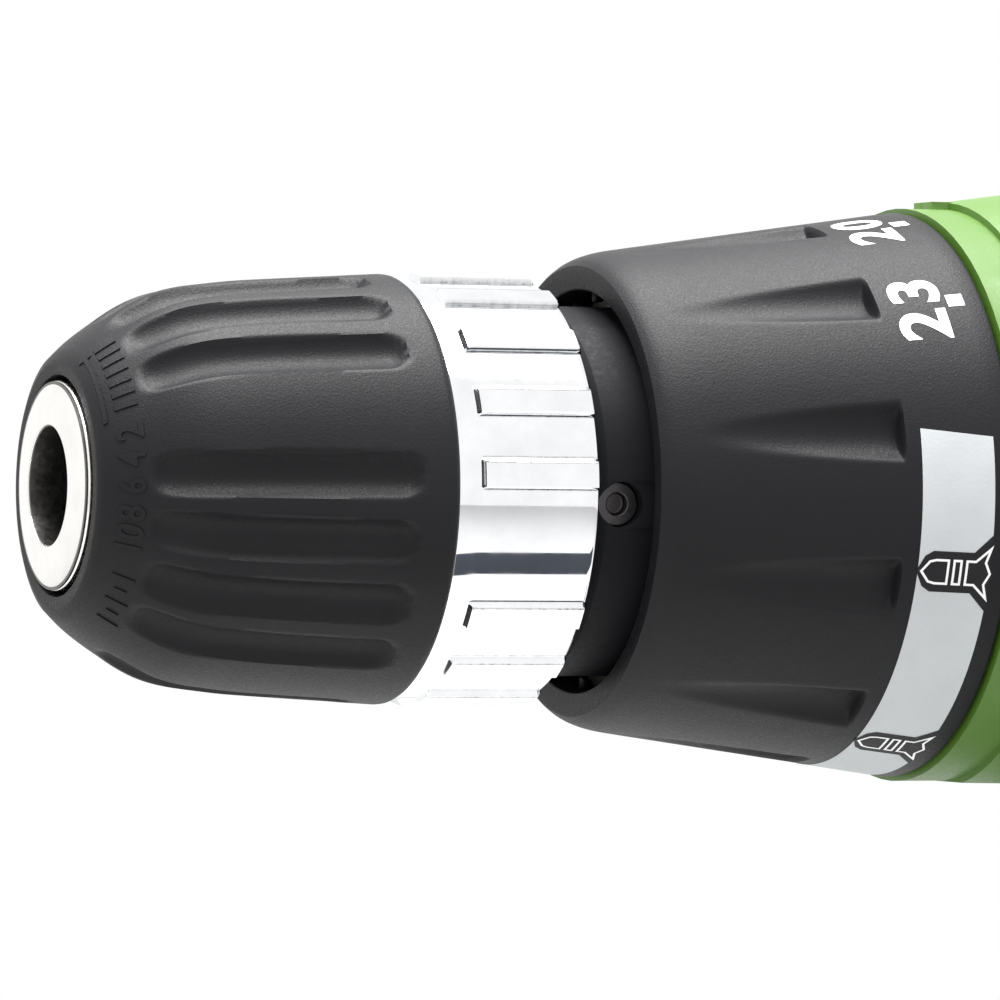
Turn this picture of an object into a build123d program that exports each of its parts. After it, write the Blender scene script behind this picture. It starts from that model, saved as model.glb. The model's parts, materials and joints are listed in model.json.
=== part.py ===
from build123d import *
from math import atan2, cos, degrees, pi, radians, sin, tan
import os

# Cordless drill / driver. Millimetres, +X towards the chuck, +Y to the tool's left, +Z up.
# The origin is under the middle of the tool, on the flat bottom of its battery.
# Places along the spindle are given as s, the distance back from the chuck's nose.

# ---- driving dimensions ----
TOOL_LENGTH = 194.8
NOSE_EDGE = 0.4                      # the edge of the nose's hole stands this far ahead of its rim
NOSE_X = TOOL_LENGTH / 2 - NOSE_EDGE
AXIS_Z = 188.0                       # height of the spindle's axis
WALL = 2.5                           # moulded casing walls
GAP = 0.3                            # clearance between pieces that move past each other
FIT = 0.05                           # radial clearance of running fits

# chuck, 10 mm capacity
SHANK_R = 5.02
SHANK_S = 3.3                        # the nose's hole is plain this far in, then relieved
RELIEF_R = 5.4
NOSE_R = 8.58
SLEEVE_FRONT_S = 0.3
SLEEVE_BORE_R = 9.1
SLEEVE_REAR_S = 29.0
SLEEVE_REAR_R = 18.03
CHUCK_REAR_S = 41.4
RING_R = 17.55
RING_RIB_R = 18.1
THREAD_R = 4.76                      # 3/8 inch spindle thread, drawn plain
THREAD_S = 29.5
SCREW_SEAT_S = 26.0
JAW_R = 3.3
JAW_ANGLE = 15.5
JAW_LENGTH = 27.0
JAW_TIP_OUT = 5.0                    # closed jaws stand this far out of the nose
JAW_CLOSED = 0.4                     # gripping face to the axis, closed and open
JAW_OPEN = 5.02
JAW_TRAVEL = (JAW_OPEN - JAW_CLOSED) / sin(radians(JAW_ANGLE))
JAW_PITCH = 1.59
NUT_S = (17.0, 23.0)
NUT_R = 14.0

# clutch collar
COLLAR_S = (46.3, 76.0)
COLLAR_MOUTH_R = 17.0
COLLAR_SHOULDER = (50.3, 20.53)
COLLAR_REAR_R = 24.3
POCKETS = 11
POCKET_S = (50.5, 66.6)
POCKET_DEPTH = 1.3
POCKET_CUT_R = 3.05
POCKET_START = 13.0

# gearbox and gears
GEARBOX_NOSE_R = 15.6
GEARBOX_NOSE_S = (42.0, 75.0)
GEARBOX_R = 21.8
GEARBOX_BORE_R = 19.6
GEARBOX_S = (75.0, 104.0)
MODULE = 0.75
SUN_TEETH = 9
PLANET_TEETH = 18
RING_TEETH = SUN_TEETH + 2 * PLANET_TEETH
PLANET_ORBIT = (SUN_TEETH + PLANET_TEETH) * MODULE / 2
PLANET_PIN_R = 2.0
STAGE_2_S = (82.8, 90.6)
STAGE_1_S = (94.8, 102.2)
CARRIER_R = 14.2

# motor
MOTOR_S = (107.3, 165.0)
MOTOR_R = 18.3
ENDBELL_S = (165.0, 174.0)
SHAFT_R = 1.58

# casing
FRONT_RING_S = 76.35
FRONT_RING_R = 24.6
BARREL_STEP_S = 80.5
BARREL_FRONT_R = 25.2
BARREL_R = 28.5
BARREL_FULL_S = 104.0
CHIN_S = 90.0                        # the casing is flat underneath as far back as this
CAP_S = 176.0
FOOT_Z = 44.0
FOOT_SIZE = (110.0, 72.0)
FOOT_X = -31.0
# handle sections: height, centre x, length, width, corner radius
HANDLE = (
    (172.0, -22.0, 50.0, 40.0, 17.0),
    (150.0, -25.0, 46.0, 37.0, 16.0),
    (120.0, -29.5, 41.0, 34.0, 15.0),
    (90.0, -34.0, 40.0, 33.5, 15.0),
    (64.0, -37.5, 46.0, 38.0, 16.0),
)
GRIP_Z = (74.0, 128.0)
GRIP_DEPTH = 1.4

# battery
BATTERY_SIZE = (112.0, 77.0, 41.3)
BATTERY_X = -31.0
DECK_TOP = 43.7
RAIL_STEM = 42.0
RAIL_FLANGE = 50.0
RAIL_STEP_Z = 49.3
RAIL_TOP_Z = 57.0
CELL_R = 9.15
CELL_PITCH = 18.6
CELL_LENGTH = 65.0
CELLS_PER_ROW = 5

# trigger and selector
TRIGGER_Z = (132.0, 156.0)
TRIGGER_HALF_WIDTH = 9.0
SELECTOR_Z = 161.0


# ---- helpers ----
def x_at(s):
    return NOSE_X - s


def turned(*outline):
    """A solid of revolution about the spindle from (s, radius) corners."""
    corners = [(x_at(s), 0, r) for s, r in outline]
    face = make_face(Polyline(*corners, close=True))
    return Pos(0, 0, AXIS_Z) * revolve(face, Axis.X, 360)


def ring(s0, s1, outer, inner=0.0):
    """A plain ring or disc about the spindle from s0 back to s1."""
    return turned((s0, inner), (s1, inner), (s1, outer), (s0, outer))


def around(shape, angle):
    """Turn a shape about the spindle's axis; 0 points to the tool's left, 90 up."""
    return Pos(0, 0, AXIS_Z) * Rot(angle, 0, 0) * Pos(0, 0, -AXIS_Z) * shape


def lateral(s, radius, angle, r, length):
    """A cylinder along the spindle's direction, centred off the axis."""
    rod = Pos(x_at(s), radius, AXIS_Z) * Rot(0, 90, 0) * Cylinder(r, length)
    return around(rod, angle)


def block(x0, x1, y0, y1, z0, z1):
    size = (x1 - x0, y1 - y0, z1 - z0)
    return Pos((x0 + x1) / 2, (y0 + y1) / 2, (z0 + z1) / 2) * Box(*size)


def sections(rows, inset=0.0, ruled=False):
    """A loft through level rounded rectangles: height, centre x, length, width, corner radius."""
    faces = []
    for z, x, length, width, corner in rows:
        outline = RectangleRounded(length - 2 * inset, width - 2 * inset, max(corner - inset, 1.0))
        faces.append(Pos(x, 0, z) * outline)
    return loft(faces, ruled=ruled)


def save(shape, node):
    solids = shape.solids()
    whole = solids[0] if len(solids) == 1 else Compound(children=list(solids))
    export_step(whole, f"parts/{node}.step")


# ---- gears ----
def gear_outline(teeth, tip_r, root_r, pitch_r, share, turn=0.0):
    """A toothed outline in the YZ plane; share is the tooth's part of the pitch on the pitch circle."""
    step = 2 * pi / teeth
    half = share * step / 2
    lean = tan(radians(20)) / pitch_r
    points = []
    for k in range(teeth):
        middle = radians(turn) + k * step
        for side in (-1, 1):
            radii = (root_r, pitch_r, tip_r) if side < 0 else (tip_r, pitch_r, root_r)
            for r in radii:
                angle = middle + side * (half - (r - pitch_r) * lean)
                points.append((0, r * cos(angle), r * sin(angle)))
    return make_face(Polyline(*points, close=True))


def toothed(outline, s0, s1):
    """Extrude an outline drawn in the YZ plane over a stretch of the spindle."""
    solid = extrude(outline, amount=s1 - s0, dir=(1, 0, 0))
    return Pos(x_at(s1), 0, AXIS_Z) * solid


def external_gear(teeth, s0, s1, turn=0.0):
    pitch_r = teeth * MODULE / 2
    outline = gear_outline(teeth, pitch_r + 0.8 * MODULE, pitch_r - 1.0 * MODULE, pitch_r, 0.44, turn)
    return toothed(outline, s0, s1)


def ring_gear(s0, s1):
    pitch_r = RING_TEETH * MODULE / 2
    half_tooth = 180 / RING_TEETH
    spaces = gear_outline(RING_TEETH, pitch_r + 1.0 * MODULE, pitch_r - 0.8 * MODULE, pitch_r, 0.56,
                          half_tooth)
    return ring(s0, s1, GEARBOX_BORE_R - FIT) - toothed(spaces, s0 - 1, s1 + 1)


def planet(stage, index):
    s0, s1 = stage
    half_tooth = 180 / PLANET_TEETH
    gear = external_gear(PLANET_TEETH, s0, s1, half_tooth) - ring(s0 - 1, s1 + 1, PLANET_PIN_R + FIT)
    return around(Pos(0, PLANET_ORBIT, 0) * gear, 120 * index)


def carrier_pins(s0, s1):
    pins = [lateral((s0 + s1) / 2, PLANET_ORBIT, 120 * k, PLANET_PIN_R, s1 - s0) for k in range(3)]
    return pins[0] + pins[1] + pins[2]


# ---- chuck ----
def jaw_place(forward=0.0):
    """The jaw's own line, in the tool's left plane, moved forward by part of its travel."""
    open_tip_s = -JAW_TIP_OUT + JAW_TRAVEL * cos(radians(JAW_ANGLE))
    tip = Pos(x_at(open_tip_s), JAW_OPEN - 1.2, AXIS_Z) * Rot(0, 0, -JAW_ANGLE)
    return tip * Pos(forward, 0, 0)


def jaw_line(r, ahead, behind):
    rod = Pos((ahead - behind) / 2, 0, 0) * Rot(0, 90, 0) * Cylinder(r, ahead + behind)
    return jaw_place() * rod


def jaw(index):
    open_tip_s = -JAW_TIP_OUT + JAW_TRAVEL * cos(radians(JAW_ANGLE))
    tip_x = x_at(open_tip_s)
    rod = jaw_line(JAW_R, 6.0, JAW_LENGTH)
    # the gripping end: two flats meet at 120 degrees, with a narrow land between them
    apex = JAW_OPEN - JAW_CLOSED
    land = block(-200, 200, JAW_OPEN, 60, -60, 60)
    reach = 30 * tan(radians(60))
    sector = make_face(Polyline((0, 0, 0), (0, 30, reach), (0, 30, -reach), close=True))
    wedge = Pos(-200, apex + 0.2, 0) * extrude(sector, amount=400, dir=(1, 0, 0))
    shape = rod & (Pos(0, 0, AXIS_Z) * wedge)
    shape = shape & (Pos(0, 0, AXIS_Z) * land)
    shape = shape & block(tip_x - 60, tip_x, -40, 40, AXIS_Z - 40, AXIS_Z + 40)
    for k in range(9):
        tooth_back = JAW_LENGTH - 1.2 - k * JAW_PITCH
        groove = jaw_place() * Pos(-tooth_back, JAW_R, 0) * Box(0.7, 0.9, 8.0)
        shape = shape - groove
    return around(shape, 120 * index)


def chuck_body():
    cone = tan(radians(JAW_ANGLE))
    nut_front, nut_rear = NUT_S
    floor_front = 8.2
    floor_rear = floor_front + (nut_rear - nut_front) * cone
    body = turned(
        (-NOSE_EDGE, SHANK_R), (SHANK_S, SHANK_R), (SHANK_S + 0.4, RELIEF_R), (SCREW_SEAT_S, RELIEF_R),
        (SCREW_SEAT_S, 2.7), (THREAD_S - 0.5, 2.7), (THREAD_S - 0.5, THREAD_R),
        (CHUCK_REAR_S - 0.4, THREAD_R), (CHUCK_REAR_S - 0.4, 16.2),
        (35.0, 16.2), (33.0, 14.0), (nut_rear + 1.4, 13.2), (nut_rear + 1.4, floor_rear),
        (nut_front - 0.3, floor_front), (nut_front - 0.3, 11.6), (9.0, 10.4), (7.0, NOSE_R), (0, NOSE_R))
    for k in range(3):
        body = body - around(jaw_line(JAW_R + 0.08, 24.0, 34.0), 120 * k)
    return body


def chuck_rear_ring():
    shell = turned((29.4, 16.9), (30.0, RING_R), (CHUCK_REAR_S, RING_R), (CHUCK_REAR_S, 14.5),
                   (CHUCK_REAR_S - 0.4, 14.5), (CHUCK_REAR_S - 0.4, 16.2), (29.4, 16.2))
    rib_s = (31.1, CHUCK_REAR_S)
    middle = (rib_s[0] + rib_s[1]) / 2
    rib = Pos(x_at(middle), (RING_R + RING_RIB_R) / 2 - 0.2, AXIS_Z) * Box(
        rib_s[1] - rib_s[0], RING_RIB_R - RING_R + 0.4, 2.3)
    for k in range(18):
        if k % 6 != 5:
            shell = shell + around(rib, 4 + 20 * k)
    return shell


def chuck_sleeve():
    front = SLEEVE_FRONT_S
    outer = Spline((x_at(front + 0.3), 0, 10.95), (x_at(4), 0, 13.68), (x_at(10), 0, 16.53),
                   (x_at(16), 0, 17.22), (x_at(SLEEVE_REAR_S - 0.8), 0, SLEEVE_REAR_R))
    inner = Polyline(
        (x_at(SLEEVE_REAR_S - 0.8), 0, SLEEVE_REAR_R), (x_at(SLEEVE_REAR_S), 0, SLEEVE_REAR_R - 0.8),
        (x_at(SLEEVE_REAR_S), 0, 16.0), (x_at(NUT_S[1] + 2.2), 0, 15.0), (x_at(NUT_S[1] + 2.2), 0, NUT_R),
        (x_at(NUT_S[0]), 0, NUT_R), (x_at(NUT_S[0]), 0, 12.2), (x_at(9), 0, 11.0),
        (x_at(6.6), 0, SLEEVE_BORE_R), (x_at(front), 0, SLEEVE_BORE_R), (x_at(front), 0, 10.3),
        (x_at(front + 0.3), 0, 10.95))
    face = make_face(outer + inner)
    sleeve = Pos(0, 0, AXIS_Z) * revolve(face, Axis.X, 360)
    # grip grooves follow the outline and end in a ball at the rear; every fifth place stays plain
    cutter_r = 2.15
    straight = Line((x_at(24.0), 0, 18.85), (x_at(11.0), 0, 17.7))
    path = straight + TangentArc(straight @ 1, (x_at(1.0), 0, 14.6), tangent=straight % 1)
    start = Plane(origin=straight @ 0, z_dir=straight % 0)
    cutter = sweep(start * Circle(cutter_r), path=path) + Pos(*(straight @ 0)) * Sphere(cutter_r)
    cutter = Pos(0, 0, AXIS_Z) * Rot(-90, 0, 0) * cutter
    for k in range(20):
        if k % 5 != 4:
            sleeve = sleeve - around(cutter, 3.6 - 18 * k)
    return sleeve


def chuck_nut():
    cone = tan(radians(JAW_ANGLE))
    s0, s1 = NUT_S
    bore = 9.1
    return turned((s0, bore), (s1, bore + (s1 - s0) * cone), (s1, NUT_R), (s0, NUT_R))


def chuck_screw():
    head = ring(SCREW_SEAT_S - 2.2, SCREW_SEAT_S, 3.3)
    shank = ring(SCREW_SEAT_S, SCREW_SEAT_S + 12, 2.5)
    cross = block(x_at(SCREW_SEAT_S - 1), x_at(SCREW_SEAT_S - 3), -2, 2, AXIS_Z - 0.5, AXIS_Z + 0.5)
    return head + shank - cross - around(cross, 90)


def spindle():
    shaft = turned((THREAD_S, 2.6), (THREAD_S, THREAD_R - 0.02), (41.2, THREAD_R - 0.02), (41.2, 8.0),
                   (44.0, 8.0), (44.0, 6.0), (78.5, 6.0), (78.5, CARRIER_R), (82.5, CARRIER_R),
                   (82.5, 0), (SCREW_SEAT_S + 13, 0), (SCREW_SEAT_S + 13, 2.6))
    return shaft + carrier_pins(82.4, 91.0 - GAP)


# ---- gearbox ----
def gearbox_nose():
    s0, s1 = GEARBOX_NOSE_S
    tube = turned((s0, 8.6), (s0, 14.6), (s0 + 1, GEARBOX_NOSE_R), (s1, GEARBOX_NOSE_R), (s1, 9.0),
                  (55.2, 9.0), (55.2, 11.0), (47.2, 11.0), (47.2, 8.6))
    hole = Pos(x_at(44.3), GEARBOX_NOSE_R, AXIS_Z) * Rot(90, 0, 0) * Cylinder(1.9, 8)
    for k in range(3):
        tube = tube - around(hole, -4.3 + 120 * k)
    return tube


def nose_screws():
    """Three grub screws that lock the bearing into the gearbox nose."""
    screws = []
    for k in range(3):
        screw = Pos(x_at(44.3), GEARBOX_NOSE_R - 2.4, AXIS_Z) * Rot(90, 0, 0) * Cylinder(1.85, 2.6)
        socket = Pos(x_at(44.3), GEARBOX_NOSE_R - 1.2, AXIS_Z) * Rot(90, 0, 0) * Cylinder(0.9, 1.6)
        screws.append(around(screw - socket, -4.3 + 120 * k))
    return screws[0] + screws[1] + screws[2]


def bearing_outer():
    s0, s1 = 47.4, 55.0
    race = ring(s0, s1, 10.95, 9.7)
    balls = [around(Pos(x_at((s0 + s1) / 2), 8.75, AXIS_Z) * Sphere(1.0), 36 * k) for k in range(10)]
    for ball in balls:
        race = race - ball
    return Compound(children=list(race.solids()) + [b.solids()[0] for b in balls])


def bearing_inner():
    groove = Pos(x_at(51.2), 0, AXIS_Z) * Rot(0, 90, 0) * Torus(8.75, 1.1)
    return ring(47.4, 55.0, 8.2, 6.0 + FIT) - groove


def gearbox_housing():
    s0, s1 = GEARBOX_S
    body = turned((s0, 15.0), (s0 + 5.5, 15.0), (s0 + 5.5, GEARBOX_BORE_R), (s1, GEARBOX_BORE_R),
                  (s1, GEARBOX_R), (s0 + 2, GEARBOX_R), (s0, GEARBOX_R - 1.5))
    for k in range(6):
        body = body - lateral(s0 + 2.7, 17.5, 60 * k, 2.3, 8)
    return body


def clutch_balls():
    balls = [around(Pos(x_at(77.5), 17.5, AXIS_Z) * Sphere(2.2), 60 * k) for k in range(6)]
    return Compound(children=[b.solids()[0] for b in balls])


def gearbox_cover():
    """The plate between gearbox and motor, with the motor's centring hole."""
    plate = ring(104.2, 107.2, GEARBOX_R, 6.5)
    for k in range(4):
        plate = plate - lateral(105.7, 19.8, 45 + 90 * k, 1.2, 8)
    return plate


def gearbox_screws():
    screws = []
    for k in range(4):
        head = lateral(108.1, 19.8, 45 + 90 * k, 1.45, 1.6)
        stem = lateral(105.7, 19.8, 45 + 90 * k, 1.1, 3.1)
        screws += (head + stem).solids()
    return Compound(children=list(screws))


def clutch_spring():
    """A round-wire compression spring."""
    turns = 5.5
    pitch = (72.6 - 56.6) / turns
    coil = Helix(pitch=pitch, height=pitch * turns, radius=17.2)
    section = Plane(origin=coil @ 0, z_dir=coil % 0) * Circle(0.75)
    wire = sweep(section, path=coil, is_frenet=True)
    return Pos(x_at(72.6), 0, AXIS_Z) * Rot(0, 90, 0) * wire


# ---- motor ----
def motor_can():
    s0, s1 = MOTOR_S
    can = turned((s0, 3.4), (s0, MOTOR_R), (s1, MOTOR_R), (s1, MOTOR_R - 1.3), (s0 + 1.5, MOTOR_R - 1.3),
                 (s0 + 1.5, 3.4))
    for k in range(2):
        slot = around(block(x_at(s0 + 11), x_at(s0 + 5), 0, 30, AXIS_Z - 6, AXIS_Z + 6), 90 * (2 * k + 1))
        can = can - slot
    return can


def motor_magnets():
    s0, s1 = MOTOR_S
    tube = ring(s0 + 13, s1 - 12, MOTOR_R - 1.35, 13.2)
    gap = block(x_at(s1), x_at(s0), -30, 30, AXIS_Z - 4, AXIS_Z + 4)
    return tube - gap


def motor_endbell():
    s0, s1 = ENDBELL_S
    return turned((s0, 12.5), (s0, MOTOR_R - 1.4), (s1, MOTOR_R - 1.4), (s1, SHAFT_R + FIT),
                  (s1 - 2, SHAFT_R + FIT), (s1 - 2, 12.5))


def motor_brushes():
    brush = block(x_at(171), x_at(166.5), 5.2, 12.0, AXIS_Z - 2.5, AXIS_Z + 2.5)
    return brush + around(brush, 180)


def armature_core():
    core = ring(124, 150, 12.4, SHAFT_R)
    for k in range(8):
        slot = block(x_at(151), x_at(123), 9, 14, AXIS_Z - 1.1, AXIS_Z + 1.1)
        core = core - around(slot, 45 * k)
    return core


def armature_windings():
    front = turned((118.5, 4), (118.5, 9), (120.5, 11.3), (123.8, 11.3), (123.8, 4))
    rear = turned((150.2, 4), (150.2, 11.3), (153.5, 11.3), (156, 9), (156, 4))
    return front + rear


def motor_fan():
    hub = ring(111, 114, 5, SHAFT_R)
    for k in range(9):
        hub = hub + around(block(x_at(114), x_at(111), 4.5, 12.5, AXIS_Z - 0.5, AXIS_Z + 0.5), 40 * k)
    return hub


# ---- clutch collar ----
def clutch_collar():
    s0, s1 = COLLAR_S
    shoulder_s, shoulder_r = COLLAR_SHOULDER
    collar = turned(
        (s0, COLLAR_MOUTH_R), (s0, 19.04), (s0 + 0.9, 19.7), (s0 + 2.2, 20.2), (shoulder_s, shoulder_r),
        (s1, COLLAR_REAR_R), (s1, 22.0), (56.0, 18.9), (48.6, 18.9), (48.6, COLLAR_MOUTH_R))
    front_s, rear_s = POCKET_S
    slope = (COLLAR_REAR_R - shoulder_r) / (s1 - shoulder_s)
    front_r = shoulder_r + (front_s - shoulder_s) * slope
    rear_r = shoulder_r + (rear_s - shoulder_s) * slope - POCKET_DEPTH
    run = rear_s - front_s
    tilt = degrees(atan2(rear_r - front_r, run))
    rod = Pos(x_at(rear_s), rear_r + POCKET_CUT_R, AXIS_Z) * Rot(0, 0, -tilt) * Rot(0, 90, 0) * Cylinder(
        POCKET_CUT_R, 4 * run)
    cutter = rod & block(x_at(rear_s), x_at(front_s - 2), 0, 60, AXIS_Z - 20, AXIS_Z + 20)
    for k in range(POCKETS):
        collar = collar - around(cutter, POCKET_START + 360 / POCKETS * k)
    return collar


def clutch_nut():
    body = ring(52.0, 55.5, 18.5, GEARBOX_NOSE_R + 0.15)
    return body


# ---- casing ----
def barrel(inset=0.0):
    front = FRONT_RING_S - (1 if inset else 0)
    rear = CAP_S + (1 if inset else 0)
    tube = turned((front, 0), (front, FRONT_RING_R - inset), (BARREL_STEP_S, FRONT_RING_R - inset),
                  (BARREL_STEP_S, BARREL_FRONT_R - inset), (BARREL_FULL_S, BARREL_R - inset),
                  (rear, BARREL_R - inset), (rear, 0))
    # flat underneath, from the front ring back to the handle
    flat = AXIS_Z - FRONT_RING_R + inset
    deep = AXIS_Z - BARREL_R - 1
    outline = Polyline((x_at(front - 2), 0, flat), (x_at(CHIN_S), 0, flat), (x_at(BARREL_FULL_S), 0, deep + inset),
                       (x_at(BARREL_FULL_S), 0, deep - 4), (x_at(front - 2), 0, deep - 4), close=True)
    return tube - extrude(make_face(outline), amount=40, both=True)


def foot(inset=0.0):
    length, width = FOOT_SIZE
    low = FOOT_Z if not inset else RAIL_TOP_Z + 2.2
    block_part = sections(((low, FOOT_X, length, width, 14), (60.5, FOOT_X, length, width, 14)), inset,
                          ruled=True)
    taper = sections(((60.4, FOOT_X, length, width, 14), (67, FOOT_X - 2, length - 26, width - 16, 18),
                      (76, -36, 44, 36, 16)), inset, ruled=True)
    return block_part + taper


def boss_places():
    """Where the casing's screws cross it: x and z."""
    return ((x_at(168), AXIS_Z + 22.3), (x_at(168), AXIS_Z - 22.3), (-16.0, 121.0), (-24.0, 84.0),
            (-78.0, 62.5), (-3.0, 62.5))


def casing():
    outer = barrel() + sections(HANDLE) + foot()
    inner = barrel(WALL) + sections(HANDLE, WALL) + foot(WALL)
    shell = outer - inner
    # ribs that hold the gearbox and the motor
    for s, r in ((84.0, GEARBOX_R), (100.0, GEARBOX_R), (122.0, MOTOR_R), (158.0, MOTOR_R)):
        shell = shell + ring(s, s + 2, BARREL_R - WALL + 0.5 if s > 90 else 24.5, r + 0.1)
    places = boss_places()
    for x, z in places:
        post = Pos(x, 0, z) * Rot(90, 0, 0) * Cylinder(3.4, 80)
        shell = shell + (post & outer)
    shell = shell - ring(CAP_S - 1, 182, BARREL_R - WALL)
    keep_clear = ring(70, 110, GEARBOX_R + 0.05) + ring(106, 190, MOTOR_R + 0.05)
    shell = shell - keep_clear
    for x, z in places:
        shell = shell - Pos(x, 0, z) * Rot(90, 0, 0) * Cylinder(1.6, 60)
        shell = shell - Pos(x, -20, z) * Rot(90, 0, 0) * Cylinder(3.0, 32)
    # pointer on top, over the front ring
    pointer = block(x_at(83), x_at(78.9), -1.8, 1.8, AXIS_Z + 23.6, AXIS_Z + BARREL_FRONT_R)
    shell = shell + pointer
    # trigger and selector openings
    z0, z1 = TRIGGER_Z
    half = TRIGGER_HALF_WIDTH + GAP
    shell = shell - block(-21, 30, -half, half, z0 - GAP, z1 + GAP)
    shell = shell - block(-16.3, -3.7, -40, 40, SELECTOR_Z - 2.8, SELECTOR_Z + 2.8)
    # the battery's slide, open to the front
    stem = RAIL_STEM / 2
    flange = RAIL_FLANGE / 2
    shell = shell - block(-82, 40, -stem, stem, FOOT_Z - 1, RAIL_TOP_Z)
    shell = shell - block(-82, 40, -flange, flange, RAIL_STEP_Z, RAIL_TOP_Z)
    # lamp hole, looking forward and up
    return shell - lamp_line(3.6, -4.0, 8.0)


def lamp_line(r, inside, outside):
    """A cylinder through the foot's sloping front, from inside it to outside it."""
    middle = (inside + outside) / 2
    return Pos(12, 0, 65.5) * Rot(0, 45, 0) * Pos(0, 0, middle) * Cylinder(r, outside - inside)


def grip_band(inset):
    low, high = GRIP_Z
    return sections(HANDLE, inset) & block(-90, 40, -40, 40, low, high)


def vents(s0, s1, count):
    slots = []
    for k in range(count):
        s = s0 + (s1 - s0) * k / (count - 1)
        slots.append(block(x_at(s) - 1.0, x_at(s) + 1.0, -40, 40, AXIS_Z - 12, AXIS_Z + 12))
    whole = slots[0]
    for slot in slots[1:]:
        whole = whole + slot
    return whole


def rear_cap():
    s = CAP_S + GAP / 3
    end = TOOL_LENGTH - NOSE_EDGE
    outer = turned((s, 0), (s, BARREL_R), (s + 5, BARREL_R - 0.4), (s + 11, BARREL_R - 3),
                   (s + 15.5, BARREL_R - 7.5), (end, 17), (end, 0))
    inner = turned((s - 1, 0), (s - 1, BARREL_R - WALL), (s + 5, BARREL_R - WALL - 0.4),
                   (s + 10.5, BARREL_R - WALL - 3), (end - WALL, 16), (end - WALL, 0))
    cap = outer - inner
    return cap - vents(s + 5, s + 12, 3)


def housing_screws():
    screws = []
    for x, z in boss_places():
        stem = Pos(x, 2.0, z) * Rot(90, 0, 0) * Cylinder(1.5, 12)
        head = Pos(x, -5.2, z) * Rot(90, 0, 0) * Cylinder(2.7, 2.4)
        socket = Pos(x, -6.2, z) * Rot(90, 0, 0) * Cylinder(1.1, 1.6)
        screws += (stem + head - socket).solids()
    return Compound(children=list(screws))


# ---- controls and electrics ----
def trigger():
    z0, z1 = TRIGGER_Z
    half = TRIGGER_HALF_WIDTH
    body = block(-13, 7.5, -half, half, z0, z1)
    body = fillet(body.edges().filter_by(Axis.Z).group_by(Axis.X)[-1], 5.0)
    finger = Pos(17.5, 0, (z0 + z1) / 2 - 2) * Rot(90, 0, 0) * Cylinder(14, 40)
    body = body - finger
    stem = Pos(-20, 0, 144) * Rot(0, 90, 0) * Cylinder(3, 15)
    return body + stem


def switch_body():
    body = block(-43, -21.5, -10, 10, 130, 158)
    return body - Pos(-30, 0, 144) * Rot(0, 90, 0) * Cylinder(3.3, 22)


def direction_selector():
    bar = block(-16, -4, -22.5, 22.5, SELECTOR_Z - 2.5, SELECTOR_Z + 2.5)
    return fillet(bar.edges().filter_by(Axis.X), 1.0)


def power_leads():
    """Two leads from the battery's terminals up the handle to the switch."""
    leads = []
    for y in (-4.0, 4.0):
        path = FilletPolyline((-44, y, 59.7), (-39, y, 76), (-36, y, 100), (-33, y, 128.5), radius=14)
        start = Plane(origin=path @ 0, z_dir=path % 0)
        leads += sweep(start * Circle(1.2), path=path).solids()
    return Compound(children=list(leads))


def terminal_block():
    body = block(-62, -40, -13.5, 13.5, 51.0, 56.9)
    return body


def terminal_blades():
    blades = [block(-40, -30.5, y - 0.4, y + 0.4, 52, 56) for y in (-8, 0, 8)]
    return Compound(children=[b.solids()[0] for b in blades])


# ---- battery ----
def battery_tub(inset=0.0):
    length, width, height = BATTERY_SIZE
    low = inset
    high = height + (1 if inset else 0)
    corner = 12 - inset
    face = RectangleRounded(length - 2 * inset, width - 2 * inset, corner)
    solid = Pos(BATTERY_X, 0, low) * extrude(face, amount=high - low)
    return chamfer(solid.faces().sort_by(Axis.Z)[0].edges(), 2.5 if not inset else 1.5)


def button_block(side, y0, y1, grow):
    x, z = -15.0, 22.0
    lo, hi = sorted((side * y0, side * y1))
    return block(x - 12 - grow, x + 12 + grow, lo, hi, z - 8 - grow, z + 8 + grow)


def battery_case():
    case = battery_tub() - battery_tub(2.2)
    for side in (1, -1):
        case = case - button_block(side, 34, 45, GAP)
    for x, y in battery_screw_places():
        post = Pos(x, y, 21) * Cylinder(3.2, 40) & battery_tub()
        case = case + post
        case = case - Pos(x, y, 20) * Cylinder(1.6, 60) - Pos(x, y, 3) * Cylinder(2.8, 12)
    return case


def battery_screw_places():
    length = BATTERY_SIZE[0]
    width = BATTERY_SIZE[1]
    return [(BATTERY_X + i * (length / 2 - 6.2), j * (width / 2 - 8)) for i in (-1, 1) for j in (-1, 1)]


def battery_lid():
    length, width, height = BATTERY_SIZE
    deck = Pos(BATTERY_X, 0, height) * extrude(RectangleRounded(length, width, 12), amount=DECK_TOP - height)
    stem = RAIL_STEM / 2 - 0.4
    flange = RAIL_FLANGE / 2 - 0.4
    tongue = block(-81.5, 20, -stem, stem, DECK_TOP, RAIL_TOP_Z - 0.4)
    tongue = tongue + block(-81.5, 20, -flange, flange, RAIL_STEP_Z + 0.4, RAIL_TOP_Z - 0.4)
    lid = deck + tongue
    lid = lid - block(-90, -38, -14, 14, 50.4, 60)
    for y in (-8, 0, 8):
        lid = lid - block(-39, -26, y - 1.8, y + 1.8, 50.4, 60)
    for x, y in battery_screw_places():
        lid = lid - Pos(x, y, 42) * Cylinder(1.6, 2.5)
    return lid


def battery_cells():
    cells = []
    for row in range(2):
        for k in range(CELLS_PER_ROW):
            x = BATTERY_X + (k - (CELLS_PER_ROW - 1) / 2) * CELL_PITCH
            z = 11.8 + row * CELL_PITCH
            can = Pos(x, 0, z) * Rot(90, 0, 0) * Cylinder(CELL_R, CELL_LENGTH)
            cells += can.solids()
    return Compound(children=list(cells))


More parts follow.
